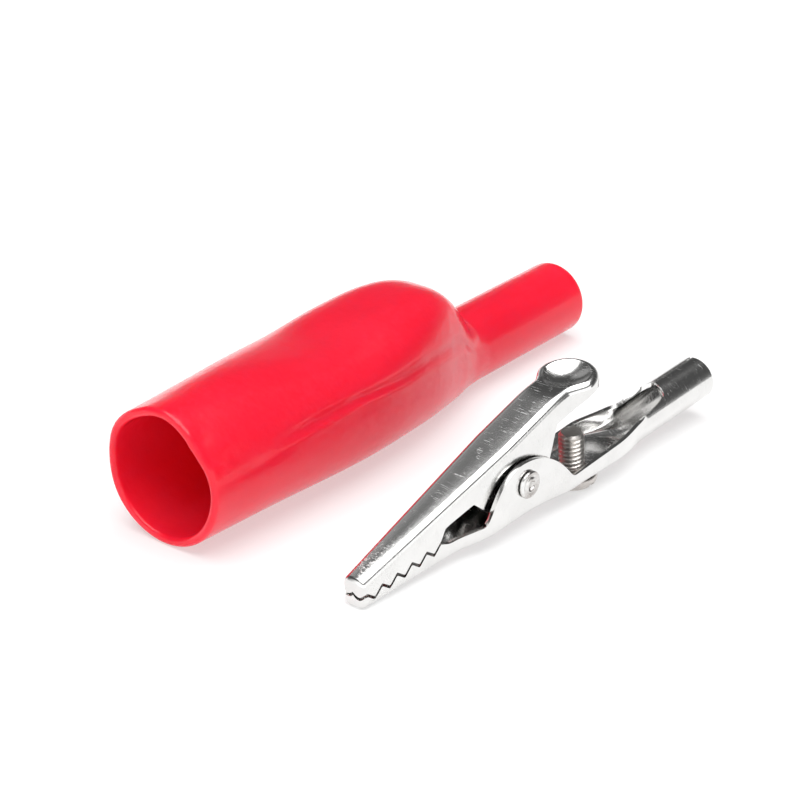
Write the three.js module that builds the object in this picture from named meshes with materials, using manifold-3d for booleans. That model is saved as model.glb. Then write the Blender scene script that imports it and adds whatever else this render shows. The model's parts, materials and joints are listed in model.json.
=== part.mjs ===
// Alligator clip with its insulating boot taken off and laid beside it.
// Millimetres, +Z up. The clip runs along X with its nose at -X and its wire barrel at +X.
// The clip is drawn level in its own frame, nose tip at x = 0, then tilted to rest on the
// nose and on the head of the terminal screw. The boot lies on the same table at its +Y side.

import * as THREE from 'three';
import { mergeVertices } from 'three/addons/utils/BufferGeometryUtils.js';
import Module from 'manifold-3d';

const wasm = await Module();
wasm.setup();

// ---------------------------------------------------------------- driving dimensions

const SHEET = 0.42;              // nickel-plated sheet steel
const FIT = 0.15;                // clearance between pieces that touch
const CLIP_LENGTH = 52;
const CUT = 30;                  // half size of cutting bodies, larger than any piece

// jaws: both are channels that widen from the nose
const NOSE_HALF_WIDTH = 1.24;
const JAW_TAPER = 0.0488;        // growth of the half width per mm
const JAW_HALF_WIDTH = 2.2;      // where the jaw stops widening
const NOSE_HEIGHT = 2.74;
const TOP_SLOPE = 0.26;          // rise of the upper jaw's back per mm
const BEND_RADIUS = 0.75;        // outer radius where the sheet is folded

// teeth
const TOOTH_PITCH = 1.9;
const TOOTH_HEIGHT = 0.74;
const TOOTH_COUNT = 6;           // teeth on each side of the lower jaw
const FIRST_TOOTH_X = 0.49;
const BITE_Z = 1.01;             // mid height of the bite line at the nose
const BITE_SLOPE = 0.087;
const BITE_GAP = 0.34;           // upright gap between the closed rows of teeth

// pivot
const PIVOT_X = 21.1;
const PIVOT_Z = 3.5;
const PIVOT_RADIUS = 1.0;
const RIVET_HEAD_RADIUS = 1.36;
const RIVET_HEAD_HEIGHT = 0.42;
const EAR_HALF_WIDTH = 2.85;
const EAR_FLARE_START_X = 11.5;  // the lower jaw widens from here to the ears
const EAR_FLARE_END_X = 16.5;
const EAR_TOP_Z = 5.85;

// thumb lever
const LEVER_BEND_X = 25.6;
const LEVER_BEND_LENGTH = 2;
const PAD_X = 30.6;
const PAD_RADIUS = 3.15;
const PAD_SLOPE = 0.11;
const PAD_RIM = 0.75;            // width of the rim round the dish
const PAD_DISH_DEPTH = 0.6;
const PAD_LIP = 1.15;            // height of the turned-down edge

// wire trough and barrel
const TROUGH_HALF_WIDTH = 3.16;
const TROUGH_EDGE_Z = 1.45;
const TROUGH_FLOOR_Z = -0.72;    // underside of the floor at the screw
const TROUGH_START_X = 28.5;
const BARREL_RADIUS = 2.22;
const BARREL_Z = 0.33;
const NECK_START_X = 35.7;
const NECK_END_X = 41;
const SEAM_X = 45.4;             // where the rolled edges meet
const SEAM_START_X = 44.6;
const SEAM_Y = 0.55;             // the seam sits off the crown
const SEAM_GAP = 0.3;

// terminal screw, M2.6
const SCREW_X = 31.3;
const SCREW_RADIUS = 1.26;
const SCREW_TOP_Z = 3.45;
const SCREW_HEAD_RADIUS = 2.5;
const SCREW_HEAD_FLAT_RADIUS = 1.9;
const SCREW_HEAD_TOP_Z = TROUGH_FLOOR_Z - FIT - 0.05;
const SCREW_HEAD_BOTTOM_Z = SCREW_HEAD_TOP_Z - 1.1;
const SCREW_SLOT_WIDTH = 0.7;
const SCREW_SLOT_DEPTH = 0.55;

// torsion spring
const WIRE = 0.6;
const COIL_TURNS = 4;
const COIL_PITCH = 0.65;
const UPPER_LEG = { angle: THREE.MathUtils.degToRad(36), length: 6.3 };
const LOWER_LEG = { angle: THREE.MathUtils.degToRad(-15), length: 6.4 };

// boot, measured along its own length from the mouth
const BOOT_LENGTH = 62.2;
const BOOT_TUBE_RADIUS = 3.98;
const BOOT_NECK = 45;            // where the body ends and the wire tube starts
const BOOT_WALL = 0.9;
const BOOT_MOUTH_RADIUS = 6.85;
const BOOT_CROWN = [[0, 13.7], [10, 13.85], [21, 13.2], [28, 13.85], [34.5, 14.25], [39, 12.6],
  [42, 9.8], [BOOT_NECK, 7.9]];
const BOOT_HALF_WIDTH = [[0, BOOT_MOUTH_RADIUS], [12, 7.6], [24, 7.9], [32, 7.15], [39, 5.4],
  [BOOT_NECK, 4.3]];
const BOOT_YAW = THREE.MathUtils.degToRad(2.65);
const BOOT_MOUTH = { x: -3.45, y: 20.7 };

// ---------------------------------------------------------------- solids

function solidOf(geometry) {
  const bare = geometry.index ? geometry.clone() : geometry;
  bare.deleteAttribute('normal');
  bare.deleteAttribute('uv');
  const merged = mergeVertices(bare, 1e-5);
  return new wasm.Manifold(new wasm.Mesh({
    numProp: 3,
    vertProperties: new Float32Array(merged.attributes.position.array),
    triVerts: new Uint32Array(merged.index.array),
  }));
}

function geometryOf(solid) {
  const mesh = solid.getMesh();
  const geometry = new THREE.BufferGeometry();
  geometry.setAttribute('position', new THREE.BufferAttribute(mesh.vertProperties, 3));
  geometry.setIndex(new THREE.BufferAttribute(mesh.triVerts, 1));
  geometry.computeVertexNormals();
  return geometry;
}

// Closed body through convex rings of points that all have the same count.
function loft(rings) {
  const count = rings[0].length;
  const positions = rings.flat().flatMap((p) => [p.x, p.y, p.z]);
  const middle = (ring) => ring.reduce((sum, p) => sum.add(p), new THREE.Vector3())
    .divideScalar(count);
  const first = middle(rings[0]);
  const last = middle(rings.at(-1));
  positions.push(first.x, first.y, first.z, last.x, last.y, last.z);
  const index = [];
  for (let r = 0; r < rings.length - 1; r += 1) {
    for (let i = 0; i < count; i += 1) {
      const a = r * count + i;
      const b = r * count + ((i + 1) % count);
      index.push(a, a + count, b, b, a + count, b + count);
    }
  }
  const firstCentre = rings.length * count;
  const lastRing = (rings.length - 1) * count;
  for (let i = 0; i < count; i += 1) {
    const next = (i + 1) % count;
    index.push(firstCentre, i, next);
    index.push(firstCentre + 1, lastRing + next, lastRing + i);
  }
  const geometry = new THREE.BufferGeometry();
  geometry.setAttribute('position', new THREE.Float32BufferAttribute(positions, 3));
  geometry.setIndex(index);
  return solidOf(geometry);
}

// Side outline (x, z) pushed through the whole width of the clip.
function sideCut(points) {
  const shape = new THREE.Shape(points.map(([x, z]) => new THREE.Vector2(x, z)));
  const geometry = new THREE.ExtrudeGeometry(shape, { depth: 2 * CUT, bevelEnabled: false });
  geometry.rotateX(Math.PI / 2);
  geometry.translate(0, CUT, 0);
  return solidOf(geometry);
}

// Plan outline (x, y) from one height to another.
function planCut(points, low, high) {
  const shape = new THREE.Shape(points.map(([x, y]) => new THREE.Vector2(x, y)));
  const geometry = new THREE.ExtrudeGeometry(shape, { depth: high - low, bevelEnabled: false });
  geometry.translate(0, 0, low);
  return solidOf(geometry);
}

// Body of revolution about the Y axis through (x, z); the outline is (radius, y).
function turnedAcross(outline, x, z, segments = 32) {
  const points = outline.map(([radius, y]) => new THREE.Vector2(radius, y));
  const geometry = new THREE.LatheGeometry(points, segments);
  geometry.translate(x, 0, z);
  return solidOf(geometry);
}

// Body of revolution about an upright axis; the outline is (radius, z).
function turnedUpright(outline, x, y, segments = 40) {
  const points = outline.map(([radius, z]) => new THREE.Vector2(radius, z));
  const geometry = new THREE.LatheGeometry(points, segments);
  geometry.rotateX(Math.PI / 2);
  geometry.translate(x, y, 0);
  return solidOf(geometry);
}

const smooth = (x, from, to) => THREE.MathUtils.smoothstep(x, from, to);
const mix = THREE.MathUtils.lerp;

// Value at x on a curve that eases between (x, value) knots.
function eased(knots, x) {
  for (let i = 0; i < knots.length - 1; i += 1) {
    const [x0, v0] = knots[i];
    const [x1, v1] = knots[i + 1];
    if (x <= x1) return mix(v0, v1, smooth(x, x0, x1));
  }
  return knots.at(-1)[1];
}

// Value at x on a smooth curve through (x, value) knots.
function through(knots, x) {
  const last = knots.length - 1;
  const slope = (i) => {
    const [xa, va] = knots[Math.max(i - 1, 0)];
    const [xb, vb] = knots[Math.min(i + 1, last)];
    return (vb - va) / (xb - xa);
  };
  const inside = THREE.MathUtils.clamp(x, knots[0][0], knots[last][0]);
  const i = Math.max(knots.findIndex(([knot]) => inside <= knot), 1) - 1;
  const [x0, v0] = knots[i];
  const [x1, v1] = knots[i + 1];
  const t = (inside - x0) / (x1 - x0);
  const rise = (x1 - x0) * (slope(i) * (t - 1) ** 2 * t + slope(i + 1) * (t - 1) * t ** 2);
  return mix(v0, v1, t * t * (3 - 2 * t)) + rise;
}

// Ring in the plane of constant x: a superellipse with its own powers above and below.
function ovalRing(x, { halfWidth, centre, down, up, powerDown, powerUp }, points = 32) {
  return Array.from({ length: points }, (_, i) => {
    const angle = (2 * Math.PI * i) / points;
    const c = Math.cos(angle);
    const s = Math.sin(angle);
    const power = s < 0 ? powerDown : powerUp;
    const reach = s < 0 ? down : up;
    const bend = (value) => Math.sign(value) * Math.abs(value) ** (2 / power);
    return new THREE.Vector3(x, -halfWidth * bend(c), centre + reach * bend(s));
  });
}

// Ring in the plane of constant x: a box whose two top or bottom corners are rounded.
function channelRing(x, halfWidth, folded, open, radius, steps = 5) {
  const up = Math.sign(folded - open);
  const half = Array.from({ length: steps + 1 }, (_, i) => {
    const angle = (i * Math.PI) / (2 * steps);
    return [halfWidth - radius * (1 - Math.cos(angle)),
      folded - up * radius * (1 - Math.sin(angle))];
  });
  const right = [[halfWidth, open], ...half];
  const left = right.map(([y, z]) => [-y, z]).reverse();
  const outline = [...right, ...left];
  if (up > 0) outline.reverse();
  return outline.map(([y, z]) => new THREE.Vector3(x, y, z));
}

const span = (from, to, steps) => Array.from({ length: steps + 1 },
  (_, i) => mix(from, to, i / steps));

// ---------------------------------------------------------------- shared outlines

const jawHalfWidth = (x) => Math.min(NOSE_HALF_WIDTH + JAW_TAPER * x, JAW_HALF_WIDTH);
const biteLine = (x) => BITE_Z + BITE_SLOPE * x;

// Zigzag of the closed teeth, moved up or down by half of the gap.
function teeth(shift) {
  const points = [[0, biteLine(0) + shift]];
  for (let i = 0; i < TOOTH_COUNT; i += 1) {
    const peak = FIRST_TOOTH_X + i * TOOTH_PITCH;
    const valley = peak + TOOTH_PITCH / 2;
    points.push([peak, biteLine(peak) + TOOTH_HEIGHT / 2 + shift]);
    if (i < TOOTH_COUNT - 1) points.push([valley, biteLine(valley) - TOOTH_HEIGHT / 2 + shift]);
  }
  return points;
}

// ---------------------------------------------------------------- lower jaw

// Underside of the floor along the clip: level jaw, lower trough, lower barrel.
const floorLine = (x) => eased([[0, 0], [21, 0], [28, TROUGH_FLOOR_Z], [34.5, -0.85],
  [NECK_END_X, BARREL_Z - BARREL_RADIUS]], x);

function lowerHalfWidth(x) {
  const flare = smooth(x, EAR_FLARE_START_X, EAR_FLARE_END_X);
  const ears = mix(jawHalfWidth(x), EAR_HALF_WIDTH, flare);
  const trough = mix(ears, TROUGH_HALF_WIDTH, smooth(x, 24, TROUGH_START_X));
  return mix(trough, BARREL_RADIUS, smooth(x, NECK_START_X - 1, NECK_END_X));
}

// Rings of the lower stamping, moved inwards by the sheet for its inside.
function lowerRings(inset) {
  const stations = [...span(inset, EAR_FLARE_START_X, 3), ...span(12.2, EAR_FLARE_END_X, 6),
    ...span(18, TROUGH_START_X, 8), ...span(30, NECK_START_X - 1, 3),
    ...span(35.2, NECK_END_X, 12), inset ? CLIP_LENGTH + 1 : CLIP_LENGTH];
  return stations.map((x) => {
    const bottom = floorLine(x);
    const neck = smooth(x, NECK_START_X - 1, NECK_END_X);
    const centre = mix(bottom + 1.6, BARREL_Z, smooth(x, 24, NECK_END_X));
    return ovalRing(x, {
      halfWidth: lowerHalfWidth(x) - inset,
      centre,
      down: centre - bottom - inset,
      up: mix(8, BARREL_RADIUS, smooth(x, NECK_START_X - 1, NECK_START_X + 1.5)) - inset,
      powerDown: mix(mix(5, 3.4, smooth(x, 22, 30)), 2, neck),
      powerUp: mix(30, 2, neck),
    });
  });
}

// Outline that leaves teeth, ears and trough edges standing.
function lowerSide() {
  const ear = new THREE.Path();
  ear.moveTo(15.3, 1.66);
  ear.bezierCurveTo(16.2, 3.0, 17.6, EAR_TOP_Z, 20.3, EAR_TOP_Z);
  ear.bezierCurveTo(23.9, EAR_TOP_Z, 26.2, 3.6, 27.6, 1.3);
  const earPoints = ear.getPoints(10).map((p) => [p.x, p.y]);
  const rim = new THREE.CubicBezierCurve(new THREE.Vector2(NECK_START_X, TROUGH_EDGE_Z + 0.1),
    new THREE.Vector2(40, TROUGH_EDGE_Z), new THREE.Vector2(44.5, TROUGH_EDGE_Z - 0.1),
    new THREE.Vector2(SEAM_X, BARREL_Z + BARREL_RADIUS + 0.05));
  const rimPoints = rim.getPoints(8).map((p) => [p.x, p.y]);
  return sideCut([[-1, -CUT], [-1, biteLine(0) - BITE_GAP / 2], ...teeth(-BITE_GAP / 2),
    [11.2, 1.57], ...earPoints, ...rimPoints, [SEAM_X, CUT], [CLIP_LENGTH + 1, CUT],
    [CLIP_LENGTH + 1, -CUT]]);
}

// Gap between the rolled edges of the barrel.
function seam() {
  const near = SEAM_Y - SEAM_GAP / 2;
  const far = SEAM_Y + SEAM_GAP / 2;
  return planCut([[SEAM_START_X, near], [CLIP_LENGTH + 1, near], [CLIP_LENGTH + 1, far],
    [SEAM_START_X, far]], BARREL_Z, CUT);
}

function crossHole(radius) {
  return turnedAcross([[0, -CUT], [radius, -CUT], [radius, CUT], [0, CUT]], PIVOT_X, PIVOT_Z);
}

function lowerJaw() {
  const shell = loft(lowerRings(0)).subtract(loft(lowerRings(SHEET)));
  const screwHole = turnedUpright([[0, -CUT], [SCREW_RADIUS + FIT, -CUT],
    [SCREW_RADIUS + FIT, 0.5], [0, 0.5]], SCREW_X, 0);
  return shell.intersect(lowerSide()).subtract(seam())
    .subtract(crossHole(PIVOT_RADIUS + FIT)).subtract(screwHole);
}

// ---------------------------------------------------------------- upper jaw

// Back of the upper jaw: straight, then bent down to the gentler slope of the pad.
function topLine(x) {
  const past = Math.max(x - LEVER_BEND_X, 0);
  const bent = Math.min(past, LEVER_BEND_LENGTH);
  const turn = TOP_SLOPE - PAD_SLOPE;
  return NOSE_HEIGHT + TOP_SLOPE * x - (turn * bent ** 2) / (2 * LEVER_BEND_LENGTH)
    - turn * (past - bent);
}

// The lever keeps the width of the jaw and then swells into the round pad.
function upperHalfWidth(x, inset) {
  const radius = PAD_RADIUS - inset;
  const across = Math.sqrt(Math.max(radius ** 2 - (x - PAD_X) ** 2, 0.01));
  const arm = jawHalfWidth(x) - inset;
  if (x > PAD_X) return across;
  return mix(arm, Math.max(across, arm), smooth(x, PAD_X - PAD_RADIUS + 0.2, PAD_X));
}

function upperRings(inset) {
  const padFront = span(0.1, 1, 10)
    .map((t) => PAD_X + (PAD_RADIUS - inset) * Math.sin((t * Math.PI) / 2));
  const stations = [...span(inset, 19.7, 2), ...span(21.5, LEVER_BEND_X, 2),
    ...span(26.2, PAD_X, 8), ...padFront];
  return stations.map((x) => channelRing(x, upperHalfWidth(x, inset), topLine(x) - inset,
    -4, Math.min(BEND_RADIUS - inset, upperHalfWidth(x, inset) * 0.9)));
}

// Lower edge of the upper jaw: teeth, relief, hanger round the pivot, lever, lip of the pad.
function upperSide() {
  const lip = topLine(PAD_X) - PAD_LIP;
  const hanger = [[14.4, 4.2], [15.7, 3.0], [17.6, 1.7], [19.6, 1.15], [22, 1.15], [23.6, 2.0],
    [25.2, 4.1], [26.4, 7.2], [28.6, 7.6], [30.4, lip - 0.1], [34.5, lip + 0.45]];
  const front = [[-1, biteLine(0) + BITE_GAP / 2], ...teeth(BITE_GAP / 2), [10.6, 3.46],
    [11.2, 3.61]];
  return sideCut([...front, ...hanger, [34.5, CUT], [-1, CUT]]);
}

// Spoon-shaped hollow of the pad, as a shallow ball cut from above and backed below.
function padBall(inset) {
  const reach = PAD_RADIUS - PAD_RIM;
  const radius = (reach ** 2 + PAD_DISH_DEPTH ** 2) / (2 * PAD_DISH_DEPTH);
  const ball = new THREE.SphereGeometry(radius + inset, 56, 40);
  ball.rotateX(Math.PI / 2);
  ball.translate(PAD_X, 0, topLine(PAD_X) + radius - PAD_DISH_DEPTH);
  return solidOf(ball);
}

function upperJaw() {
  const outer = loft(upperRings(0));
  const inner = loft(upperRings(SHEET)).subtract(padBall(SHEET));
  return outer.subtract(inner).subtract(padBall(0)).intersect(upperSide())
    .subtract(crossHole(PIVOT_RADIUS + FIT));
}

// ---------------------------------------------------------------- pivot rivet

function pivotRivet() {
  const face = EAR_HALF_WIDTH + 0.1;
  const crown = face + RIVET_HEAD_HEIGHT;
  const dimple = 0.45;
  const half = [[PIVOT_RADIUS, face], [RIVET_HEAD_RADIUS, face],
    [RIVET_HEAD_RADIUS, face + 0.12], [1.1, crown - 0.12], [0.75, crown], [dimple, crown],
    [dimple * 0.6, crown - 0.25], [0, crown - 0.25]];
  const other = half.map(([radius, y]) => [radius, -y]).reverse();
  return turnedAcross([...other, ...half], PIVOT_X, PIVOT_Z);
}

// ---------------------------------------------------------------- torsion spring

// Round bar along a curve, made of rings of eight points.
function wireAlong(curve, steps) {
  const frames = curve.computeFrenetFrames(steps, false);
  const rings = Array.from({ length: steps + 1 }, (_, i) => {
    const at = curve.getPointAt(i / steps);
    return Array.from({ length: 8 }, (_unused, k) => {
      const angle = (-2 * Math.PI * k) / 8;
      return at.clone()
        .addScaledVector(frames.normals[i], (WIRE / 2) * Math.cos(angle))
        .addScaledVector(frames.binormals[i], (WIRE / 2) * Math.sin(angle));
    });
  });
  return loft(rings);
}

function torsionSpring() {
  const radius = PIVOT_RADIUS + FIT + WIRE / 2 + 0.05;
  const halfLength = (COIL_TURNS * COIL_PITCH) / 2;
  const from = UPPER_LEG.angle + Math.PI / 2;
  const to = LOWER_LEG.angle - Math.PI / 2 + 2 * Math.PI * COIL_TURNS;
  const at = (angle, y) => new THREE.Vector3(PIVOT_X + radius * Math.cos(angle), y,
    PIVOT_Z + radius * Math.sin(angle));
  const steps = COIL_TURNS * 14;
  const coil = span(from, to, steps).map((angle, i) => at(angle,
    mix(-halfLength, halfLength, i / steps)));
  const legFrom = (start, { angle, length }) => [0.2, 0.5, 1].map((part) => start.clone()
    .add(new THREE.Vector3(Math.cos(angle), 0, Math.sin(angle)).multiplyScalar(part * length)));
  const points = [...legFrom(coil[0], UPPER_LEG).reverse(), ...coil,
    ...legFrom(coil.at(-1), LOWER_LEG)];
  return wireAlong(new THREE.CatmullRomCurve3(points, false, 'centripetal'), 110);
}

// ---------------------------------------------------------------- terminal screw

// Cheese head below the floor, with its slot across the clip, and a chamfered end above it.
function terminalScrew() {
  const low = SCREW_HEAD_BOTTOM_Z;
  const screw = turnedUpright([[0, low], [SCREW_HEAD_FLAT_RADIUS, low],
    [SCREW_HEAD_RADIUS - 0.15, low + 0.25], [SCREW_HEAD_RADIUS, low + 0.65],
    [SCREW_HEAD_RADIUS, SCREW_HEAD_TOP_Z], [SCREW_RADIUS, SCREW_HEAD_TOP_Z],
    [SCREW_RADIUS, SCREW_TOP_Z - 0.3], [SCREW_RADIUS - 0.25, SCREW_TOP_Z], [0, SCREW_TOP_Z]],
  SCREW_X, 0);
  const slot = new THREE.BoxGeometry(SCREW_SLOT_WIDTH, 2 * CUT, 2 * SCREW_SLOT_DEPTH);
  slot.translate(SCREW_X, 0, low);
  return screw.subtract(solidOf(slot));
}

// ---------------------------------------------------------------- insulating boot

// Rings of the boot: round at the mouth and the tube, boxier where the crown is level.
function bootRings(inset) {
  const stations = [inset ? -1 : 0, ...span(5, 35, 6), ...span(37, 43, 4), 44, BOOT_NECK,
    BOOT_NECK + 0.5, inset ? BOOT_LENGTH + 1 : BOOT_LENGTH];
  return stations.map((s) => {
    const onTube = s > BOOT_NECK;
    const tubeTop = 2 * BOOT_TUBE_RADIUS;
    const top = onTube ? tubeTop : Math.max(through(BOOT_CROWN, s), tubeTop);
    const halfWidth = onTube ? BOOT_TUBE_RADIUS : through(BOOT_HALF_WIDTH, s);
    const centre = mix(BOOT_MOUTH_RADIUS, BOOT_TUBE_RADIUS, smooth(s, 28, BOOT_NECK));
    const boxy = smooth(s, 8, 24) * (1 - smooth(s, 38, BOOT_NECK));
    return ovalRing(s, {
      halfWidth: halfWidth - inset,
      centre,
      down: centre - inset,
      up: top - centre - inset,
      powerDown: mix(2, 2.3, boxy),
      powerUp: mix(2, 2.9, boxy),
    });
  });
}

function insulatingBoot() {
  return loft(bootRings(0)).subtract(loft(bootRings(BOOT_WALL)));
}

// ---------------------------------------------------------------- assembly

function piece(name, solid, colour, roughness, metalness) {
  const material = new THREE.MeshStandardMaterial({ color: colour, roughness, metalness });
  const mesh = new THREE.Mesh(geometryOf(solid), material);
  mesh.name = name;
  return mesh;
}

const NICKEL = 0xc9c9c6;
const clip = new THREE.Group();
clip.add(
  piece('lower_jaw', lowerJaw(), NICKEL, 0.2, 1),
  piece('upper_jaw', upperJaw(), NICKEL, 0.2, 1),
  piece('pivot_rivet', pivotRivet(), 0xbdbdba, 0.25, 1),
  piece('torsion_spring', torsionSpring(), 0x9a9a98, 0.35, 1),
  piece('terminal_screw', terminalScrew(), 0xb4b2ae, 0.3, 1),
);

// The clip rests on the bottom edge of its nose and on the near edge of the screw head.
clip.rotation.y = -Math.atan2(-SCREW_HEAD_BOTTOM_Z, SCREW_X - SCREW_HEAD_FLAT_RADIUS);

const boot = new THREE.Group();
boot.add(piece('insulating_boot', insulatingBoot(), 0xe01e2c, 0.3, 0));
boot.rotation.z = BOOT_YAW;
boot.position.set(BOOT_MOUTH.x, BOOT_MOUTH.y, 0);

// Both pieces stand on z = 0 and the pair is centred on the origin.
clip.updateMatrixWorld(true);
clip.position.z = -new THREE.Box3().setFromObject(clip, true).min.z;
const model = new THREE.Group();
model.add(clip, boot);
model.updateMatrixWorld(true);
const bounds = new THREE.Box3().setFromObject(model, true);
const centre = bounds.getCenter(new THREE.Vector3());
model.position.set(-centre.x, -centre.y, 0);
model.updateMatrixWorld(true);

export default model;
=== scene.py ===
import json
import math

import bmesh
import bpy
import numpy as np
from mathutils import Matrix, Vector


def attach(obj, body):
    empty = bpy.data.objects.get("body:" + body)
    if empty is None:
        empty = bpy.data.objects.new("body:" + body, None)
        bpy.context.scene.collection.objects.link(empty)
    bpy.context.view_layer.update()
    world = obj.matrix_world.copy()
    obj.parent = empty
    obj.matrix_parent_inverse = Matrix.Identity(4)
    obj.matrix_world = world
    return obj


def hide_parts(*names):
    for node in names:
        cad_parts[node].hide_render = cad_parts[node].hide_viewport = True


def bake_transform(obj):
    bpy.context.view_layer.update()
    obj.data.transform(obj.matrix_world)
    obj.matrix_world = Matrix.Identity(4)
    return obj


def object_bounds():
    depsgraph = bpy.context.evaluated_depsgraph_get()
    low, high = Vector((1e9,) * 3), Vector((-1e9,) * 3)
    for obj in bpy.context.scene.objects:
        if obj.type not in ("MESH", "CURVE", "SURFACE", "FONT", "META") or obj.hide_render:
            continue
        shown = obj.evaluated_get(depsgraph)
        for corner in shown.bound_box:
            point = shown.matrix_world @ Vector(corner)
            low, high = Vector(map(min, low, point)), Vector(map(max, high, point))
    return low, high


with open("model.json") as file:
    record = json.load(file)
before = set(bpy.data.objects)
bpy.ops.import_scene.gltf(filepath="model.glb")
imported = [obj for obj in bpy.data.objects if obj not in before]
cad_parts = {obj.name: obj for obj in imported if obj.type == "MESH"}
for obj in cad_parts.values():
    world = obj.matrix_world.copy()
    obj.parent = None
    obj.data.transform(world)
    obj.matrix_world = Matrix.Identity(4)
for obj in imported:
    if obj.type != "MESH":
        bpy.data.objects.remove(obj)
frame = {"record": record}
cad_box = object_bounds()

# The clip is drawn level, in millimetres, with its nose tip at x = 0, its middle plane at
# y = 0 and the underside of its nose at z = 0. The boot is drawn along +X from its mouth,
# lying on z = 0. Two matrices carry these drawings to their places in the frame.
MM = 0.001
joints = {j["name"]: j for j in frame["record"]["behaviour"]["joints"]}
mounts = {m["name"]: m for m in frame["record"]["mounts"]}

PIVOT = (21.1, 3.5)
hinge = Vector(joints["jaw_hinge"]["pos_m"])
screw_axis = joints["terminal_screw_turn"]["axis"]
tilt = math.atan2(-screw_axis[0], screw_axis[2])
CLIP = (Matrix.Translation(hinge) @ Matrix.Rotation(-tilt, 4, "Y") @ Matrix.Scale(MM, 4)
        @ Matrix.Translation((-PIVOT[0], 0, -PIVOT[1])))

mouth = mounts["boot_mouth_rim"]
boot_yaw = math.atan2(-mouth["axis"][1], -mouth["axis"][0])
BOOT = (Matrix.Translation((mouth["pos_m"][0], mouth["pos_m"][1], 0))
        @ Matrix.Rotation(boot_yaw, 4, "Z") @ Matrix.Scale(MM, 4))


# ---------------------------------------------------------------- camera, floor and light

LENS = 103.5                     # mm, on a 36 mm sensor
TOWARDS_CAMERA = Vector((-0.673750, -0.594888, 0.438371))
CAMERA_FROM_CENTRE = Vector((-0.1552876, -0.1313908, 0.0980418))
LAMP = 4.0                       # brightness of the overhead softbox against the table
FLOOR_RADIUS = 4.0
FLOOR_DROP = 0.00003             # keeps the floor clear of the faces that rest on it
FLOOR_WHITE = 0.47
FLOOR_GLOW = 0.49                # light that the table gives by itself, to soften shadows


def add_object(name, data):
    made = bpy.data.objects.new(name, data)
    bpy.context.scene.collection.objects.link(made)
    return made


centre = (cad_box[0] + cad_box[1]) / 2
camera = add_object("camera", bpy.data.cameras.new("camera"))
bpy.context.scene.camera = camera
camera.data.sensor_width = 36
camera.data.lens = LENS
camera.data.clip_start = 0.001
camera.data.clip_end = 100
camera.rotation_euler = TOWARDS_CAMERA.to_track_quat("Z", "Y").to_euler()
camera.location = centre + CAMERA_FROM_CENTRE


def node(tree, kind, inputs=None, **settings):
    """New node; an input that is a socket gets linked, and any other sets the value."""
    made = tree.nodes.new(kind)
    for name, value in settings.items():
        setattr(made, name, value)
    for name, value in (inputs or {}).items():
        socket = made.inputs[name]
        if isinstance(value, bpy.types.NodeSocket):
            tree.links.new(value, socket)
        else:
            socket.default_value = value
    return made


def ramp(tree, factor, stops):
    """Straight steps between (position, grey or colour) stops."""
    made = node(tree, "ShaderNodeValToRGB", {0: factor})
    elements = made.color_ramp.elements
    while len(elements) < len(stops):
        elements.new(0.5)
    for element, (position, colour) in zip(elements, stops):
        element.position = position
        if not isinstance(colour, tuple):
            colour = (colour,) * 3
        element.color = (*colour, 1)
    return made.outputs[0]


def maths(tree, operation, a, b=0.0, c=0.0, clamp=False):
    return node(tree, "ShaderNodeMath", {0: a, 1: b, 2: c}, operation=operation,
                use_clamp=clamp).outputs[0]


def smooth_step(tree, value, low, high, top=1.0):
    """0 up to low and top from high on, with a soft change between."""
    return node(tree, "ShaderNodeMapRange", {0: value, 1: low, 2: high, 3: 0.0, 4: top},
                interpolation_type="SMOOTHSTEP").outputs[0]


def along_direction(tree, direction, towards):
    return node(tree, "ShaderNodeVectorMath", {0: direction, 1: towards},
                operation="DOT_PRODUCT").outputs["Value"]


def mix_colours(tree, factor, a, b, blend="MIX"):
    return node(tree, "ShaderNodeMix", {0: factor, 6: a, 7: b}, data_type="RGBA",
                blend_type=blend).outputs[2]


def build_world():
    """A softbox overhead, dark walls, and a bright table that runs up to the horizon."""
    world = bpy.data.worlds.new("studio")
    bpy.context.scene.world = world
    world.use_nodes = True
    tree = world.node_tree
    tree.nodes.clear()
    direction = node(tree, "ShaderNodeTexCoord").outputs["Generated"]
    split = node(tree, "ShaderNodeSeparateXYZ", {0: direction})
    # height 0.5 is the horizon and 1 is straight up
    height = maths(tree, "MULTIPLY_ADD", split.outputs["Z"], 0.5, 0.5)
    far = ramp(tree, height, [
        (0.503, 0.28), (0.52, 0.14), (0.56, 0.10), (0.66, 0.035), (0.72, 0.018),
        (0.87, 0.02), (0.92, 0.08), (0.95, 1.0)])
    right = ramp(tree, height, [
        (0.525, 0.31), (0.53, 0.012), (0.552, 0.012), (0.557, 0.16), (0.568, 0.16),
        (0.575, 0.022), (0.70, 0.018), (0.80, 0.03), (0.90, 0.08), (0.95, 1.0)])
    near = ramp(tree, height, [
        (0.50, 0.36), (0.75, 0.36), (0.775, 0.05), (0.86, 0.05), (0.90, 0.3), (0.93, 1.0)])
    to_far = smooth_step(tree, along_direction(tree, direction, (0.62, 0.78, 0.0)),
                         -0.2, 0.15)
    to_right = smooth_step(tree, split.outputs["X"], 0.35, 0.6)
    front = mix_colours(tree, to_right, near, right)
    walls = mix_colours(tree, to_far, front, far)
    # a dim card high on the far side
    card_at = Vector((0.29, 0.74, 0.61)).normalized()
    card = smooth_step(tree, along_direction(tree, direction, card_at), 0.972, 0.992, 0.075)
    colour = mix_colours(tree, 1.0, walls, card, blend="ADD")
    background = node(tree, "ShaderNodeBackground", {"Color": colour, "Strength": LAMP})
    output = node(tree, "ShaderNodeOutputWorld")
    tree.links.new(background.outputs[0], output.inputs[0])


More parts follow.
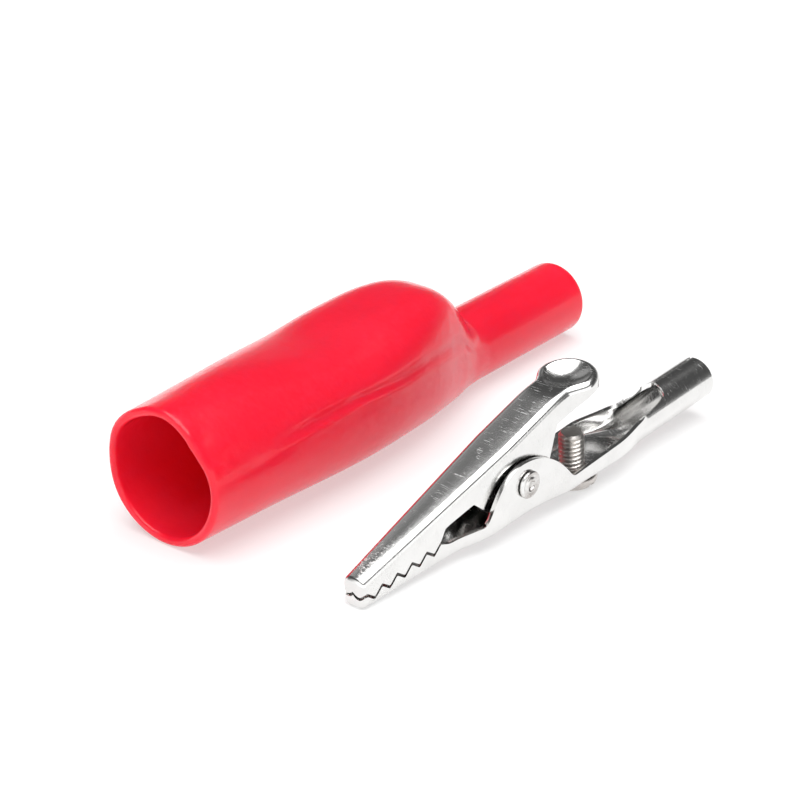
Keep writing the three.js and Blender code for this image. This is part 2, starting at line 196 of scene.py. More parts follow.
def build_floor():
    data = bpy.data.meshes.new("floor")
    made = bmesh.new()
    bmesh.ops.create_circle(made, cap_ends=True, segments=96,
                             radius=FLOOR_RADIUS)
    made.to_mesh(data)
    made.free()
    floor = add_object("floor", data)
    floor.location.z = -FLOOR_DROP
    material = bpy.data.materials.new("white_table")
    material.use_nodes = True
    tree = material.node_tree
    tree.nodes.clear()
    paper = node(tree, "ShaderNodeBsdfDiffuse", {"Color": (*(FLOOR_WHITE,) * 3, 1)})
    glow = node(tree, "ShaderNodeEmission", {"Color": (1, 1, 1, 1),
                "Strength": FLOOR_GLOW})
    both = node(tree, "ShaderNodeAddShader", {0: paper.outputs[0], 1: glow.outputs[0]})
    output = node(tree, "ShaderNodeOutputMaterial")
    tree.links.new(both.outputs[0], output.inputs[0])
    data.materials.append(material)


build_world()
build_floor()
bpy.context.scene.view_settings.view_transform = "Standard"


# ---------------------------------------------------------------- materials

def start_material(name):
    """Material, its tree, its shader and the place on the surface in millimetres."""
    material = bpy.data.materials.new(name)
    material.use_nodes = True
    tree = material.node_tree
    tree.nodes.clear()
    shader = node(tree, "ShaderNodeBsdfPrincipled")
    output = node(tree, "ShaderNodeOutputMaterial")
    tree.links.new(shader.outputs[0], output.inputs[0])
    place = node(tree, "ShaderNodeTexCoord").outputs["Object"]
    in_mm = node(tree, "ShaderNodeVectorMath", {0: place, "Scale": 1 / MM},
                 operation="SCALE").outputs[0]
    return material, tree, shader, in_mm


def noise(tree, place, stretch, scale, detail=3.0, rough=0.5):
    mapped = node(tree, "ShaderNodeMapping", {"Vector": place, "Scale": stretch}).outputs[0]
    return node(tree, "ShaderNodeTexNoise", {"Vector": mapped, "Scale": scale,
                "Detail": detail, "Roughness": rough}).outputs["Fac"]


def set_bump(tree, shader, height, distance, strength):
    bump = node(tree, "ShaderNodeBump", {"Height": height, "Distance": distance,
                "Strength": strength})
    tree.links.new(bump.outputs[0], shader.inputs["Normal"])


SCRATCH_COLOUR = (0.92, 0.92, 0.91, 1)
SCRATCH_SHARE = 0.5              # how far a scratch takes on its own colour
SCRATCH_ROUGHNESS = 0.22
RUBBED_ROUGHNESS = 0.4
METAL_BUMP = 0.000012            # m
SMUDGE_RELIEF = 1.2


def metal(name, colour, dull, rough, scratch_stretch, scratch, pits, worn_end=None):
    """Plated metal: smudged gloss, fine scratches, pits, and wear towards worn_end (x, mm)."""
    material, tree, shader, place = start_material(name)
    shader.inputs["Metallic"].default_value = 1.0
    smudge = noise(tree, place, (1, 1, 1), 0.45, 4.0, 0.6)
    fine = noise(tree, place, (1, 1, 1), 7.0, 4.0, 0.65)
    lines = noise(tree, place, scratch_stretch, 1.0, 5.0, 0.7)
    patches = noise(tree, place, (1, 1, 1), 0.9, 3.0, 0.6)
    worn = maths(tree, "MULTIPLY", ramp(tree, lines, [(0.56, 0.0), (0.62, 1.0)]),
                 ramp(tree, patches, [(0.45, 0.0), (0.6, 1.0)]))

    blotch = ramp(tree, smudge, [(0.42, 0.0), (0.68, 1.0)])
    tinted = mix_colours(tree, blotch, (*colour, 1), (*dull, 1))
    shade = maths(tree, "MULTIPLY", worn, SCRATCH_SHARE)
    tree.links.new(mix_colours(tree, shade, tinted, SCRATCH_COLOUR),
                   shader.inputs["Base Color"])

    low, high = rough
    level = maths(tree, "ADD", maths(tree, "MULTIPLY", smudge, high - low), low)
    marks = maths(tree, "MULTIPLY", worn, SCRATCH_ROUGHNESS)
    if worn_end is not None:
        along = node(tree, "ShaderNodeSeparateXYZ", {0: place}).outputs["X"]
        near_end = smooth_step(tree, along, worn_end + 7.0, worn_end + 2.0)
        past_tip = smooth_step(tree, along, worn_end + 0.4, worn_end + 1.3)
        specks = ramp(tree, noise(tree, place, (1.6, 1, 1), 2.6, 5.0, 0.75),
                      [(0.52, 0.0), (0.60, 1.0)])
        rubbed = maths(tree, "MULTIPLY", maths(tree, "MULTIPLY", near_end, past_tip), specks)
        marks = maths(tree, "ADD", marks,
                      maths(tree, "MULTIPLY", rubbed, RUBBED_ROUGHNESS))
    tree.links.new(maths(tree, "ADD", level, marks, clamp=True), shader.inputs["Roughness"])

    relief = maths(tree, "ADD", maths(tree, "MULTIPLY", lines, scratch),
                   maths(tree, "MULTIPLY", fine, pits))
    relief = maths(tree, "ADD", relief, maths(tree, "MULTIPLY", smudge, SMUDGE_RELIEF))
    set_bump(tree, shader, relief, METAL_BUMP, 1.0)
    return material


def vinyl():
    """Glossy dip-moulded vinyl that lets some light through, with a faint orange peel."""
    material, tree, shader, place = start_material("red_vinyl")
    cloud = noise(tree, place, (0.5, 1, 1), 0.16, 3.0, 0.5)
    grain = noise(tree, place, (1, 1, 1), 3.2, 5.0, 0.6)
    speck = noise(tree, place, (1, 1, 1), 0.9, 2.0, 0.5)
    colour = ramp(tree, cloud, [(0.3, (0.74, 0.011, 0.034)), (0.7, (0.80, 0.016, 0.044))])
    tree.links.new(colour, shader.inputs["Base Color"])
    tree.links.new(maths(tree, "MULTIPLY_ADD", grain, 0.14, 0.07),
                   shader.inputs["Roughness"])
    for socket, value in (("IOR", 1.42), ("Specular IOR Level", 0.38),
                          ("Coat Weight", 0.15), ("Coat Roughness", 0.05),
                          ("Subsurface Weight", 0.85),
                          ("Subsurface Radius", (1.0, 0.07, 0.11)),
                          ("Subsurface Scale", 0.0028)):
        shader.inputs[socket].default_value = value
    relief = maths(tree, "ADD", maths(tree, "MULTIPLY", speck, 2.0),
                   maths(tree, "MULTIPLY", grain, 0.5))
    set_bump(tree, shader, relief, 0.00004, 0.6)
    return material


NICKEL = (0.79, 0.785, 0.775)
NICKEL_DULL = (0.74, 0.735, 0.725)
NOSE_AT = cad_box[0].x / MM + 3.5  # x in mm where the clip's nose begins
finishes = {
    "nickel_sheet": metal("nickel_sheet", NICKEL, NICKEL_DULL, (0.04, 0.2),
                          (11.0, 0.5, 1.5), 0.6, 0.3, worn_end=NOSE_AT),
    "nickel_rivet": metal("nickel_rivet", NICKEL, (0.45, 0.42, 0.40), (0.12, 0.3),
                          (2.0, 2.0, 2.0), 0.6, 0.8),
    "spring_steel": metal("spring_steel", (0.42, 0.41, 0.40), (0.30, 0.29, 0.28),
                          (0.22, 0.4), (3.0, 3.0, 3.0), 0.5, 0.8),
    "nickel_screw": metal("nickel_screw", (0.66, 0.63, 0.60), (0.48, 0.44, 0.42),
                          (0.2, 0.42), (1.5, 1.5, 9.0), 0.6, 0.5),
    "red_vinyl": vinyl(),
}


# ---------------------------------------------------------------- mesh helpers

def smooth(x, low, high):
    t = np.clip((np.asarray(x, float) - low) / (high - low), 0, 1)
    return t * t * (3 - 2 * t)


def mix(a, b, t):
    return a + (b - a) * t


def polyline(points, x):
    xs, zs = np.array(points, float).T
    return np.interp(x, xs, zs)


def bezier(p0, p1, p2, p3, count=24):
    t = np.linspace(0, 1, count)[:, None]
    p0, p1, p2, p3 = (np.array(p, float) for p in (p0, p1, p2, p3))
    curve = ((1 - t) ** 3 * p0 + 3 * (1 - t) ** 2 * t * p1 + 3 * (1 - t) * t ** 2 * p2
             + t ** 3 * p3)
    return [tuple(p) for p in curve]


def through(knots, x):
    """Smooth curve through (x, value) knots, with the slopes of their neighbours."""
    xs, vs = np.array(knots, float).T
    before = np.maximum(np.arange(len(xs)) - 1, 0)
    after = np.minimum(np.arange(len(xs)) + 1, len(xs) - 1)
    slopes = (vs[after] - vs[before]) / (xs[after] - xs[before])
    x = np.clip(np.asarray(x, float), xs[0], xs[-1])
    i = np.clip(np.searchsorted(xs, x, side="left") - 1, 0, len(xs) - 2)
    length = xs[i + 1] - xs[i]
    t = (x - xs[i]) / length
    rise = length * (slopes[i] * (t - 1) ** 2 * t + slopes[i + 1] * (t - 1) * t ** 2)
    return mix(vs[i], vs[i + 1], t * t * (3 - 2 * t)) + rise


def grid_object(name, points, wrap_rows=False, wrap_columns=False):
    """Object in level millimetres from an array of rows of points."""
    points = np.asarray(points, float)
    rows, columns = points.shape[:2]
    data = bpy.data.meshes.new(name)
    index = np.arange(rows * columns).reshape(rows, columns)
    next_row = np.roll(index, -1, axis=0) if wrap_rows else index[1:]
    this_row = index if wrap_rows else index[:-1]
    if wrap_columns:
        quads = (this_row, np.roll(this_row, -1, 1), np.roll(next_row, -1, 1), next_row)
    else:
        quads = (this_row[:, :-1], this_row[:, 1:], next_row[:, 1:], next_row[:, :-1])
    faces = np.stack([q.ravel() for q in quads], axis=1)
    data.from_pydata(points.reshape(-1, 3).tolist(), [], faces.tolist())
    clean(data)
    return add_object(name, data)


def clean(data, closed=False):
    """Welds doubles and turns the faces one way, outwards if the mesh is closed."""
    made = bmesh.new()
    made.from_mesh(data)
    bmesh.ops.remove_doubles(made, verts=made.verts, dist=1e-5)
    bmesh.ops.dissolve_degenerate(made, edges=made.edges, dist=1e-6)
    bmesh.ops.recalc_face_normals(made, faces=made.faces)
    if closed and made.calc_volume(signed=True) < 0:
        bmesh.ops.reverse_faces(made, faces=made.faces)
    made.to_mesh(data)
    made.free()


def apply_modifiers(made):
    bpy.context.view_layer.update()
    graph = bpy.context.evaluated_depsgraph_get()
    data = bpy.data.meshes.new_from_object(made.evaluated_get(graph))
    made.modifiers.clear()
    old = made.data
    made.data = data
    bpy.data.meshes.remove(old)


def thicken(made, thickness):
    """Gives the sheet its thickness on its inner side, towards the clip's middle plane."""
    data = made.data
    outward = sum(f.area * f.normal.y * f.center.y for f in data.polygons)
    if outward < 0:
        data.flip_normals()
    solid = made.modifiers.new("sheet", "SOLIDIFY")
    solid.thickness = thickness
    solid.offset = -1
    solid.use_even_offset = True
    apply_modifiers(made)


def lathe(name, outline, segments, place):
    """Body of revolution; outline is (radius, height) and place(radius, angle, height)."""
    angles = np.linspace(0, 2 * math.pi, segments, endpoint=False)
    rows = [[place(r, a, h) for a in angles] for r, h in outline]
    return grid_object(name, rows, wrap_columns=True)


def cut(made, cutter):
    clean(cutter.data, closed=True)
    tool = made.modifiers.new("cut", "BOOLEAN")
    tool.operation = "DIFFERENCE"
    tool.solver = "EXACT"
    tool.object = cutter
    apply_modifiers(made)
    bpy.data.objects.remove(cutter)


def soften(made):
    """Rounds the sharp edges of a pressed sheet."""
    edge = made.modifiers.new("edge", "BEVEL")
    edge.width = EDGE_ROUND
    edge.segments = 3
    edge.limit_method = "ANGLE"
    edge.angle_limit = math.radians(50)
    apply_modifiers(made)


def place_piece(made, matrix, slot, sharp=38):
    """Carries the mesh to its place in the frame and gives it its material."""
    data = made.data
    data.transform(matrix)
    data.materials.clear()
    data.materials.append(finishes[slot])
    data.set_sharp_from_angle(angle=math.radians(sharp))
    for polygon in data.polygons:
        polygon.use_smooth = True


# ---------------------------------------------------------------- shape of the clip

# All in mm in the level drawing of the clip. Names that end in _X are distances from the nose.
SHEET = 0.42
EDGE_ROUND = 0.09
CLIP_LENGTH = 52.0
JAW_HALF_WIDTH = 2.2
NOSE_HALF_WIDTH = 1.24
JAW_FLARE = 0.0488               # growth of the half width per mm
BITE_GAP = 0.34
TOOTH_PITCH = 1.9
TOOTH_HEIGHT = 0.74
FIRST_TOOTH = 0.49
LAST_TOOTH = FIRST_TOOTH + 5 * TOOTH_PITCH
BITE_AT_NOSE = 1.01
BITE_SLOPE = 0.087
EAR_HALF_WIDTH = 2.85
TROUGH_HALF_WIDTH = 3.16
NECK_X = 34.7                    # the trough ends here and its walls start to roll up
BARREL_X = 41.0
BARREL_RADIUS = 2.22
BARREL_Z = 0.33
SEAM_FROM_X, SEAM_TO_X = 44.4, 45.7  # where the two edges come together
SEAM_Y = 0.55
SEAM_GAP = 0.3
PAD_X = 30.6
PAD_RADIUS = 3.15
PAD_RIM = 0.75
PAD_DISH_DEPTH = 0.6
LEVER_AT_NOSE = 2.74             # height of the lever's back
LEVER_SLOPE = 0.26
LEVER_SLOPE_AT_PAD = 0.11
LEVER_BEND_X = 25.6
LEVER_BEND_LENGTH = 2.0
LEVER_CROWN = 0.03               # how much the lever's back bulges across
SCREW_X = 31.3
SCREW_HOLE_RADIUS = 1.41
PIVOT_HOLE_RADIUS = 1.15
BEND_RADIUS = 0.75


def jaw_half_width(x):
    return np.minimum(NOSE_HALF_WIDTH + JAW_FLARE * x, JAW_HALF_WIDTH)


def bite_line(x):
    return BITE_AT_NOSE + BITE_SLOPE * x


def tooth_wave(x, shift):
    """Height of the toothed edge: a zigzag with slightly rounded points."""
    phase = (x - FIRST_TOOTH) / TOOTH_PITCH * 2 * math.pi
    keen = 0.975
    wave = np.arcsin(keen * np.cos(phase)) / math.asin(keen)
    return bite_line(x) + wave * TOOTH_HEIGHT / 2 + shift


def floor_line(x):
    """Underside of the lower jaw, which dips to the trough and on to the barrel."""
    knots = [(0, 0.0), (21, 0.0), (28, -0.72), (34.5, -0.85),
             (BARREL_X, BARREL_Z - BARREL_RADIUS)]
    out = np.full_like(x, knots[-1][1])
    for (x0, v0), (x1, v1) in reversed(list(zip(knots, knots[1:]))):
        out = np.where(x <= x1, mix(v0, v1, smooth(x, x0, x1)), out)
    return out


def neck_of(x):
    """0 at the trough and 1 where the sheet is rolled up into the barrel."""
    return smooth(x, NECK_X, BARREL_X)


def lower_half_width(x):
    ears = mix(jaw_half_width(x), EAR_HALF_WIDTH, smooth(x, 11.5, 16.5))
    trough = mix(ears, TROUGH_HALF_WIDTH, smooth(x, 24, 28.5))
    return mix(trough, BARREL_RADIUS, neck_of(x))


def rounded(values, x, width, start):
    """The same line with its corners rounded past start."""
    offsets = np.linspace(-width, width, 9)
    soft = np.mean([np.interp(x + o, x, values) for o in offsets], axis=0)
    return np.where(x > start, soft, values)


EAR_TOP = (20.3, 5.85)
EAR = bezier((15.3, 1.66), (16.2, 3.0), (17.6, 5.85), EAR_TOP)
EAR += bezier(EAR_TOP, (23.9, 5.85), (26.2, 3.6), (27.6, 1.3))[1:]
TROUGH_RIM = bezier((35.7, 1.55), (40, 1.45), (44.5, 1.35), (45.4, 2.60))
LOWER_EDGE = [(11.2, 1.57)] + EAR + TROUGH_RIM + [(60, 2.6)]


def lower_edge(x):
    """Upper edge of the lower jaw: teeth, relief, ear and rim of the trough."""
    start = LAST_TOOTH
    peak = bite_line(start) + TOOTH_HEIGHT / 2 - BITE_GAP / 2
    line = polyline([(start, peak)] + LOWER_EDGE, x)
    line = rounded(line, x, 0.35, start + 0.4)
    return np.where(x <= start, tooth_wave(x, -BITE_GAP / 2), line)


def upper_edge(x):
    """Lower edge of the upper jaw: teeth, relief, hanger round the pivot, lever and lip."""
    start = LAST_TOOTH
    peak = bite_line(start) + TOOTH_HEIGHT / 2 + BITE_GAP / 2
    lip = float(top_line(np.array(PAD_X))) - 1.15
    points = [(start, peak), (10.6, 3.46), (11.2, 3.61), (14.4, 4.2), (15.7, 3.0),
              (17.6, 1.7), (19.6, 1.15), (22, 1.15), (23.6, 2.0), (25.2, 4.1), (26.4, 7.2),
              (28.6, 7.6), (30.4, lip - 0.1), (34.5, lip + 0.45)]
    line = rounded(polyline(points, x), x, 0.3, start + 0.25)
    return np.where(x <= start, tooth_wave(x, BITE_GAP / 2), line)


def top_line(x):
    """The lever's back: a straight rise that bends flatter before the pad."""
    past = np.maximum(x - LEVER_BEND_X, 0)
    bent = np.minimum(past, LEVER_BEND_LENGTH)
    turn = LEVER_SLOPE - LEVER_SLOPE_AT_PAD
    drop = turn * bent ** 2 / (2 * LEVER_BEND_LENGTH) + turn * (past - bent)
    return LEVER_AT_NOSE + LEVER_SLOPE * x - drop


def stations(*spans):
    """Sorted x values from (from, to, count) spans, each once."""
    values = [np.linspace(a, b, n) for a, b, n in spans]
    return np.unique(np.round(np.concatenate(values), 5))


def nose_cap(section, edge_z, radius, notch=0.33, steps=9):
    """Rows that close the nose: its first section drawn in to the notched front edge."""
    size = max(np.abs(section[:, 1]).max(), np.abs(section[:, 2] - edge_z).max())
    flat = 1 - radius / size
    rows = [(0.0, f) for f in np.linspace(0, flat, 7)[:-1]]
    for a in np.linspace(0, math.pi / 2, steps):
        rows.append((radius * (1 - math.cos(a)), flat + (1 - flat) * math.sin(a)))
    out = []
    for x, f in rows[:-1]:
        edge = edge_z - notch * math.sin(math.pi * f)
        out.append(np.stack([np.full(len(section), x), section[:, 1] * f,
                             edge + (section[:, 2] - edge_z) * f], axis=1))
    return out


# ---------------------------------------------------------------- lower jaw

def lower_section(x, side_rows=34):
    """Half sections of the lower stamping, from the bottom line to each of its edges."""
    bottom = floor_line(x)
    neck = neck_of(x)
    middle = mix(bottom + 1.6, BARREL_Z, smooth(x, 24, BARREL_X))
    width = lower_half_width(x)
    down = middle - bottom
    up = mix(8.0, BARREL_RADIUS, smooth(x, NECK_X, NECK_X + 2.5))
    power_down = mix(mix(5.0, 3.4, smooth(x, 22, 30)), 2.0, neck)
    power_up = mix(30.0, 2.0, neck)
    t = np.linspace(0, 1, 260)
    v_down = 1 - t * (2 - t)
    v_up = t * (2 - t)
    past = v_up[::-1][1:120]
    edge = lower_edge(x)
    closing = smooth(x, SEAM_FROM_X, SEAM_TO_X)
    halves = {}
    for side, seam in ((-1, SEAM_Y - SEAM_GAP / 2), (1, SEAM_Y + SEAM_GAP / 2)):
        rows = []
        for i in range(len(x)):
            y = [width[i] * (1 - v_down ** power_down[i]) ** (1 / power_down[i])]
            z = [middle[i] - down[i] * v_down]
            y.append(width[i] * (1 - v_up[1:] ** power_up[i]) ** (1 / power_up[i]))
            z.append(middle[i] + up[i] * v_up[1:])
            y.append(-width[i] * (1 - past ** power_up[i]) ** (1 / power_up[i]))
            z.append(middle[i] + up[i] * past)
            y, z = np.concatenate(y), np.concatenate(z)
            along = np.concatenate([[0], np.cumsum(np.hypot(np.diff(y), np.diff(z)))])
            above = np.nonzero(z >= edge[i])[0]
            open_end = along[above[0]] if len(above) else along[-1]
            if len(above):
                k = above[0]
                part = (edge[i] - z[k - 1]) / (z[k] - z[k - 1])
                open_end = mix(along[k - 1], along[k], part)
            beyond = np.nonzero((side * y <= seam) if side > 0 else (-y >= seam))[0]
            beyond = [k for k in beyond if z[k] > middle[i]]
            shut_end = along[beyond[0]] if len(beyond) else along[-1]
            at = np.linspace(0, mix(open_end, shut_end, closing[i]), side_rows)
            rows.append(np.stack([np.interp(at, along, y) * side,
                                  np.interp(at, along, z)], axis=1))
        halves[side] = np.array(rows)
    near = halves[-1][:, ::-1]
    far = halves[1][:, 1:]
    section = np.concatenate([near, far], axis=1)
    xs = np.repeat(x[:, None], section.shape[1], axis=1)
    return np.concatenate([xs[:, :, None], section], axis=2)


def build_lower_jaw():
    x = stations((0.5, 10.0, 96), (10.0, 16.5, 34), (16.5, 27.6, 52), (27.6, 36, 34),
                 (36, BARREL_X, 30), (BARREL_X, 47, 50), (47, CLIP_LENGTH - 0.25, 16),
                 (CLIP_LENGTH - 0.25, CLIP_LENGTH, 4))
    body = lower_section(x)
    cap = nose_cap(body[0], float(lower_edge(x[:1])[0]), x[0])
    made = grid_object("lower_jaw_stamping", cap + list(body))
    thicken(made, SHEET)
    cut(made, pivot_bar())
    hole = [(0, -4), (SCREW_HOLE_RADIUS, -4), (SCREW_HOLE_RADIUS, 0.5), (0, 0.5)]
    cut(made, lathe("screw_hole", hole, 48,
                    lambda r, a, h: (SCREW_X + r * math.cos(a), r * math.sin(a), h)))
    soften(made)
    place_piece(made, CLIP, "nickel_sheet")
    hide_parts("lower_jaw")
    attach(made, "clip_base")


def pivot_bar():
    """Cutter for the rivet's holes."""
    outline = [(0, -9), (PIVOT_HOLE_RADIUS, -9), (PIVOT_HOLE_RADIUS, 9), (0, 9)]
    return lathe("bar", outline, 48,
                 lambda r, a, h: (PIVOT[0] + r * math.cos(a), h, PIVOT[1] + r * math.sin(a)))


# ---------------------------------------------------------------- upper jaw

def pad_dish(x, y):
    """How far the pad's face lies below the lever's back."""
    reach = PAD_RADIUS - PAD_RIM
    distance = np.hypot(x - PAD_X, y)
    return PAD_DISH_DEPTH * np.clip(1 - (distance / reach) ** 2, 0, 1)


def upper_plan():
    """Points of the near edge in plan and their outward directions, nose to pad tip."""
    x = stations((0.5, 10.0, 96), (10.0, 26.0, 84), (26.0, PAD_X, 44))
    across = np.sqrt(np.maximum(PAD_RADIUS ** 2 - (x - PAD_X) ** 2, 0.01))
    arm = jaw_half_width(x)
    swell = smooth(x, PAD_X - PAD_RADIUS + 0.2, PAD_X)
    half = mix(arm, np.maximum(across, arm), swell)
    slope = np.gradient(half, x)
    scale = np.hypot(slope, 1)
    points = np.stack([x, half], axis=1)
    normals = np.stack([-slope / scale, 1 / scale], axis=1)
    turn = np.linspace(0, math.pi / 2, 40)[1:]
    ring = np.stack([np.sin(turn), np.cos(turn)], axis=1)
    points = np.concatenate([points, PAD_RADIUS * ring + (PAD_X, 0)])
    normals = np.concatenate([normals, ring])
    return points, normals


def upper_rows(points, normals, wall_rows=12, bend_rows=8, plate_rows=41):
    """Rows across the lever: up the near wall, round the bend, over the back, and down."""
    out = []
    turn = np.linspace(0, math.pi / 2, bend_rows)
    for (x, half), (nx, ny) in zip(points, normals):
        low = float(upper_edge(np.array([x]))[0])
        radius = min(BEND_RADIUS, half * 0.8) if x < 20 else BEND_RADIUS
        side = []
        top = float(top_line(np.array(x)))
        for z in np.linspace(low, top - radius, wall_rows)[:-1]:
            side.append((x, half, z))
        for a in turn:
            inward = radius * (1 - math.cos(a))
            px, py = x - nx * inward, half - ny * inward
            pz = float(top_line(np.array(px))) - radius * (1 - math.sin(a))
            side.append((px, py, pz))
        side = np.array(side)
        inner_x, inner_y = side[-1, 0], max(side[-1, 1], 0)
        ys = np.linspace(-inner_y, inner_y, plate_rows)[1:-1]
        crown = LEVER_CROWN * (1 - (ys / max(inner_y, 1e-6)) ** 2)
        crown *= 1 - smooth(inner_x, 26, 28.5)
        plate_z = top_line(np.array(inner_x)) + crown - pad_dish(inner_x, ys)
        plate = np.stack([np.full_like(ys, inner_x), ys, plate_z], axis=1)
        near = side * (1, -1, 1)
        out.append(np.concatenate([near, plate, side[::-1]]))
    return out


def build_upper_jaw():
    points, normals = upper_plan()
    rows = upper_rows(points, normals)
    cap = nose_cap(rows[0], float(upper_edge(points[:1, 0])[0]), points[0, 0])
    made = grid_object("upper_jaw_lever", cap + rows)
    thicken(made, SHEET)
    cut(made, pivot_bar())
    soften(made)
    place_piece(made, CLIP, "nickel_sheet")
    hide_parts("upper_jaw")
    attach(made, "jaw_lever")


# ---------------------------------------------------------------- rivet, spring and screw

def build_rivet():
    """Shank with two staked heads: a ring, a groove and a dimple, slightly out of round."""
    face = 2.95
    crown = face + 0.42
    half = [(1.0, 0), (1.0, face), (1.2, face), (1.33, face + 0.02), (1.36, face + 0.08),
            (1.35, face + 0.17), (1.29, face + 0.26), (1.2, face + 0.31),
            (1.1, face + 0.32), (1.0, face + 0.29), (0.92, face + 0.25),
            (0.84, face + 0.26), (0.78, face + 0.33), (0.7, crown - 0.02), (0.6, crown),
            (0.52, crown - 0.03), (0.46, crown - 0.1), (0.42, crown - 0.2),
            (0.34, crown - 0.27), (0.2, crown - 0.3), (0.0, crown - 0.29)]
    outline = [(r, -h) for r, h in reversed(half)] + half[1:]

    def place(r, a, h):
        uneven = 1 + 0.09 * math.sin(2 * a + 0.6) + 0.07 * math.sin(3 * a + 1.9) \
            + 0.04 * math.sin(5 * a)
        amount = max(0.0, 1 - abs(r - 0.5) / 0.3) if abs(h) > face else 0.0
        r = r * mix(1, uneven, amount)
        if abs(h) > face + 0.2:
            h += math.copysign(0.03 * math.sin(3 * a + 0.8) * amount, h)
        return (PIVOT[0] + r * math.cos(a), h, PIVOT[1] + r * math.sin(a))

    made = lathe("staked_rivet", outline, 72, place)
    clean(made.data, closed=True)
    place_piece(made, CLIP, "nickel_rivet", sharp=45)
    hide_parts("pivot_rivet")
    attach(made, "clip_base")


def build_spring():
    """Coil round the rivet, one leg up under the lever and one down on the trough."""
    turns, pitch, radius, wire = 4, 0.65, 1.5, 0.3
    upper, lower = math.radians(36), math.radians(-15)
    start = upper + math.pi / 2
    end = lower - math.pi / 2 + 2 * math.pi * turns
    angles = np.linspace(start, end, turns * 48)
    half = turns * pitch / 2
    coil = np.stack([PIVOT[0] + radius * np.cos(angles), np.linspace(-half, half, len(angles)),
                     PIVOT[1] + radius * np.sin(angles)], axis=1)

    upper_length, lower_length = 6.3, 6.4

    def leg(origin, angle, length):
        reach = np.linspace(0.15, length, 24)[:, None]
        return origin + reach * np.array([math.cos(angle), 0, math.sin(angle)])

    path = np.concatenate([leg(coil[0], upper, upper_length)[::-1], coil,
                           leg(coil[-1], lower, lower_length)])
    forward = np.gradient(path, axis=0)
    forward /= np.linalg.norm(forward, axis=1)[:, None]
    up = np.array([0.0, 1.0, 0.0])
    rows = []
    around = np.linspace(0, 2 * math.pi, 20, endpoint=False)
    for i, (p, f) in enumerate(zip(path, forward)):
        up = up - f * (up @ f)
        up /= np.linalg.norm(up)
        side = np.cross(f, up)
        ring = [p + wire * (math.cos(a) * up + math.sin(a) * side) for a in around]
        rows.append(ring)
    for end_index, sign in ((0, -1), (-1, 1)):
        p, f = path[end_index], forward[end_index]
        caps = []
        for share, out in ((0.93, 0.05), (0.7, 0.09), (0.0, 0.1)):
            base = np.array(rows[end_index])
            caps.append(p + (base - p) * share + sign * f * out)
        rows = rows + caps if sign > 0 else caps[::-1] + rows
    made = grid_object("torsion_spring_wire", rows, wrap_columns=True)
    clean(made.data, closed=True)
    place_piece(made, CLIP, "spring_steel", sharp=60)
    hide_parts("torsion_spring")
    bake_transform(made)


def build_screw():
    """Screw with a rolled thread, a chamfered end and a slotted head underneath."""
    head_top, head_height = -0.92, 1.1
    head_bottom = head_top - head_height
    top = 3.45
    pitch, major, depth = 0.45, 1.26, 0.24
    slot_width, slot_depth = 0.7, 0.55
    head = [(0, head_bottom), (1.5, head_bottom), (1.9, head_bottom + 0.02),
            (2.2, head_bottom + 0.1), (2.38, head_bottom + 0.26), (2.47, head_bottom + 0.45),
            (2.5, head_bottom + 0.66), (2.5, head_top - 0.06), (2.44, head_top),
            (major - 0.1, head_top)]
    shank = [(major - 0.1, z) for z in np.linspace(head_top + 0.03, -0.45, 8)]
    thread_from = -0.4
    threads = [(None, z) for z in np.arange(thread_from, top, pitch / 14)]
    tip = [(1.0, top), (0.85, top), (0.4, top), (0, top)]

    def place(r, a, h):
        if r is None:
            phase = (h / pitch - a / (2 * math.pi)) % 1
            tooth = min(1.0, max(0.0, abs(2 * phase - 1) * 1.25 - 0.1))
            fade = min(1.0, (h - thread_from) / 0.3)
            r = major - depth * tooth * fade - 0.1 * (1 - fade)
            r = min(r, 1.0 + (top - h) * 0.95)
        return (SCREW_X + r * math.cos(a), r * math.sin(a), h)

    made = lathe("threaded_screw", head + shank + threads + tip, 84, place)
    clean(made.data, closed=True)
    slot = bmesh.new()
    bmesh.ops.create_cube(slot, size=1)
    bmesh.ops.scale(slot, verts=slot.verts, vec=(slot_width, 7, 2 * slot_depth))
    bmesh.ops.translate(slot, verts=slot.verts, vec=(SCREW_X, 0, head_bottom))
    data = bpy.data.meshes.new("slot")
    slot.to_mesh(data)
    slot.free()
    cut(made, add_object("slot", data))
    place_piece(made, CLIP, "nickel_screw", sharp=32)
    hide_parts("terminal_screw")
    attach(made, "screw")


# ---------------------------------------------------------------- boot

BOOT_LENGTH = 62.2
TUBE_RADIUS = 3.98
BOOT_NECK = 45.0
WALL = 0.9
MOUTH_RADIUS = 6.85
CROWN = [(0, 13.7), (10, 13.85), (21, 13.2), (28, 13.85), (34.5, 14.25), (38, 13.4),
         (40.6, 11.3), (42.4, 9.0), (43.8, 8.05), (45, 7.96)]
HALF_WIDTH = [(0, 6.85), (12, 7.6), (24, 7.9), (32, 7.15), (39, 5.3), (42, 4.4), (45, 3.98)]


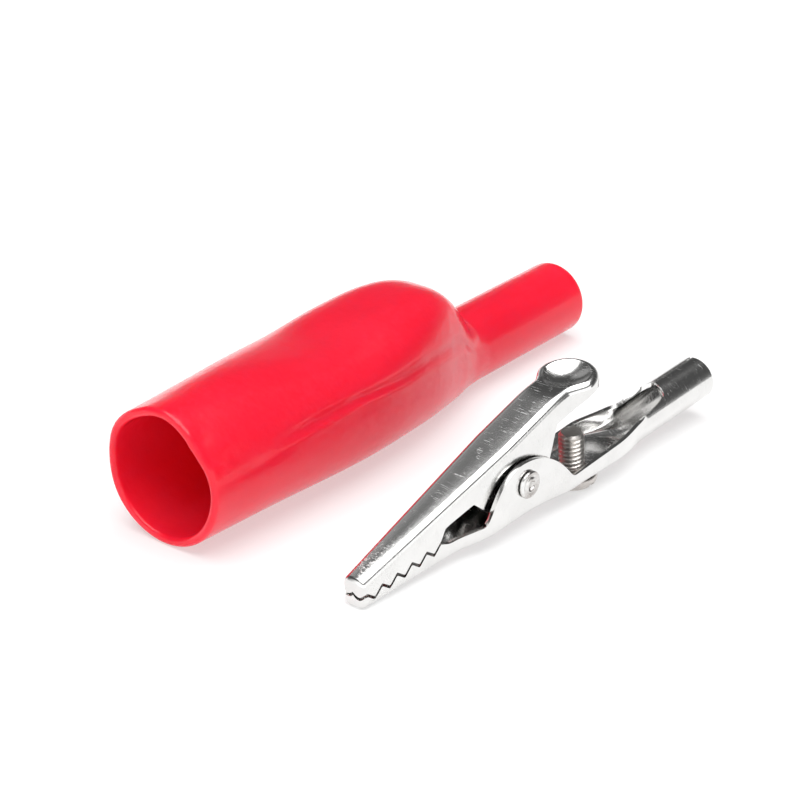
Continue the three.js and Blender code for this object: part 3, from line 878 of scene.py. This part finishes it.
def boot_unevenness(s, angles):
    """How far the dipped skin stands out of its true shape: a wavy lip with one flat, slow
    ripples, and a fold with a groove above it along the side that faces the clip."""
    high = 0.5 + 0.5 * np.sin(angles)          # 0 underneath, 1 on top
    lip = math.exp(-(s / 4.0) ** 2)
    wave = 0.15 * np.sin(5 * angles + 0.9) + 0.1 * np.sin(3 * angles + 2.2)
    turn = np.degrees(angles)
    window = smooth(turn, 22, 34) * (1 - smooth(turn, 46, 58))
    flat = -0.18 * math.exp(-((s - 0.8) / 1.0) ** 2) * window
    side = np.exp(-((turn - 14) / 16) ** 2)
    ripple = 0.035 * np.sin(0.9 * s + 1.3) * np.sin(0.23 * s + 0.4) * side
    ripple += 0.012 * np.sin(2.6 * s + 3 * np.sin(0.31 * s)) * side
    ripple += 0.05 * np.sin(0.28 * s + 2 * angles)
    fold = 16 - 6 * smooth(s, 18, 28)
    present = smooth(s, 7, 14) * (1 - smooth(s, 40, 43))
    ripple += 0.14 * present * np.exp(-((turn - fold + 1) / 3.0) ** 2)
    ripple -= 0.24 * present * np.exp(-((turn - fold - 6) / 4.0) ** 2)
    return lip * wave * high + flat + ripple * high * (1 - lip) * (1 - smooth(s, 41, 45))


def boot_ring(s, inset, angles):
    """Ring of points at s mm from the mouth, inset mm inside the outer skin."""
    on_tube = s > BOOT_NECK
    top = 2 * TUBE_RADIUS if on_tube else max(float(through(CROWN, s)), 2 * TUBE_RADIUS)
    half = TUBE_RADIUS if on_tube else float(through(HALF_WIDTH, s))
    half = mix(half, TUBE_RADIUS, float(smooth(s, 43.5, 46.5)))
    middle = mix(MOUTH_RADIUS, TUBE_RADIUS, float(smooth(s, 28, BOOT_NECK)))
    boxy = float(smooth(s, 8, 24) * (1 - smooth(s, 38, BOOT_NECK)))
    c, sn = np.cos(angles), np.sin(angles)
    skin = boot_unevenness(s, np.where(angles > math.pi, angles - 2 * math.pi, angles)) - inset
    power = np.where(sn < 0, mix(2, 2.3, boxy), mix(2, 2.9, boxy))
    reach = np.where(sn < 0, middle, top - middle) + skin
    y = -(half + skin) * np.sign(c) * np.abs(c) ** (2 / power)
    z = middle + reach * np.sign(sn) * np.abs(sn) ** (2 / power)
    return np.stack([np.full_like(y, s), y, z], axis=1)


def build_boot():
    around = 192
    angles = np.linspace(0, 2 * math.pi, around, endpoint=False)
    path = []
    half_wall = WALL / 2
    outer = stations((0.45, 6, 24), (6, 36, 76), (36, 47, 60), (47, BOOT_LENGTH - 0.45, 40))
    path += [(s, 0.0) for s in outer]
    for a in np.linspace(0, math.pi, 9)[1:-1]:
        path.append((BOOT_LENGTH - half_wall + half_wall * math.sin(a),
                     half_wall * (1 - math.cos(a))))
    path += [(s, WALL) for s in outer[::-1]]
    for a in np.linspace(0, math.pi, 11)[1:-1]:
        path.append((half_wall - half_wall * math.sin(a), half_wall * (1 + math.cos(a))))
    rows = np.array([boot_ring(s, inset, angles) for s, inset in path])
    made = grid_object("vinyl_boot", rows, wrap_rows=True, wrap_columns=True)
    clean(made.data, closed=True)
    place_piece(made, BOOT, "red_vinyl", sharp=70)
    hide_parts("insulating_boot")
    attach(made, "boot")


build_lower_jaw()
build_upper_jaw()
build_rivet()
build_spring()
build_screw()
build_boot()
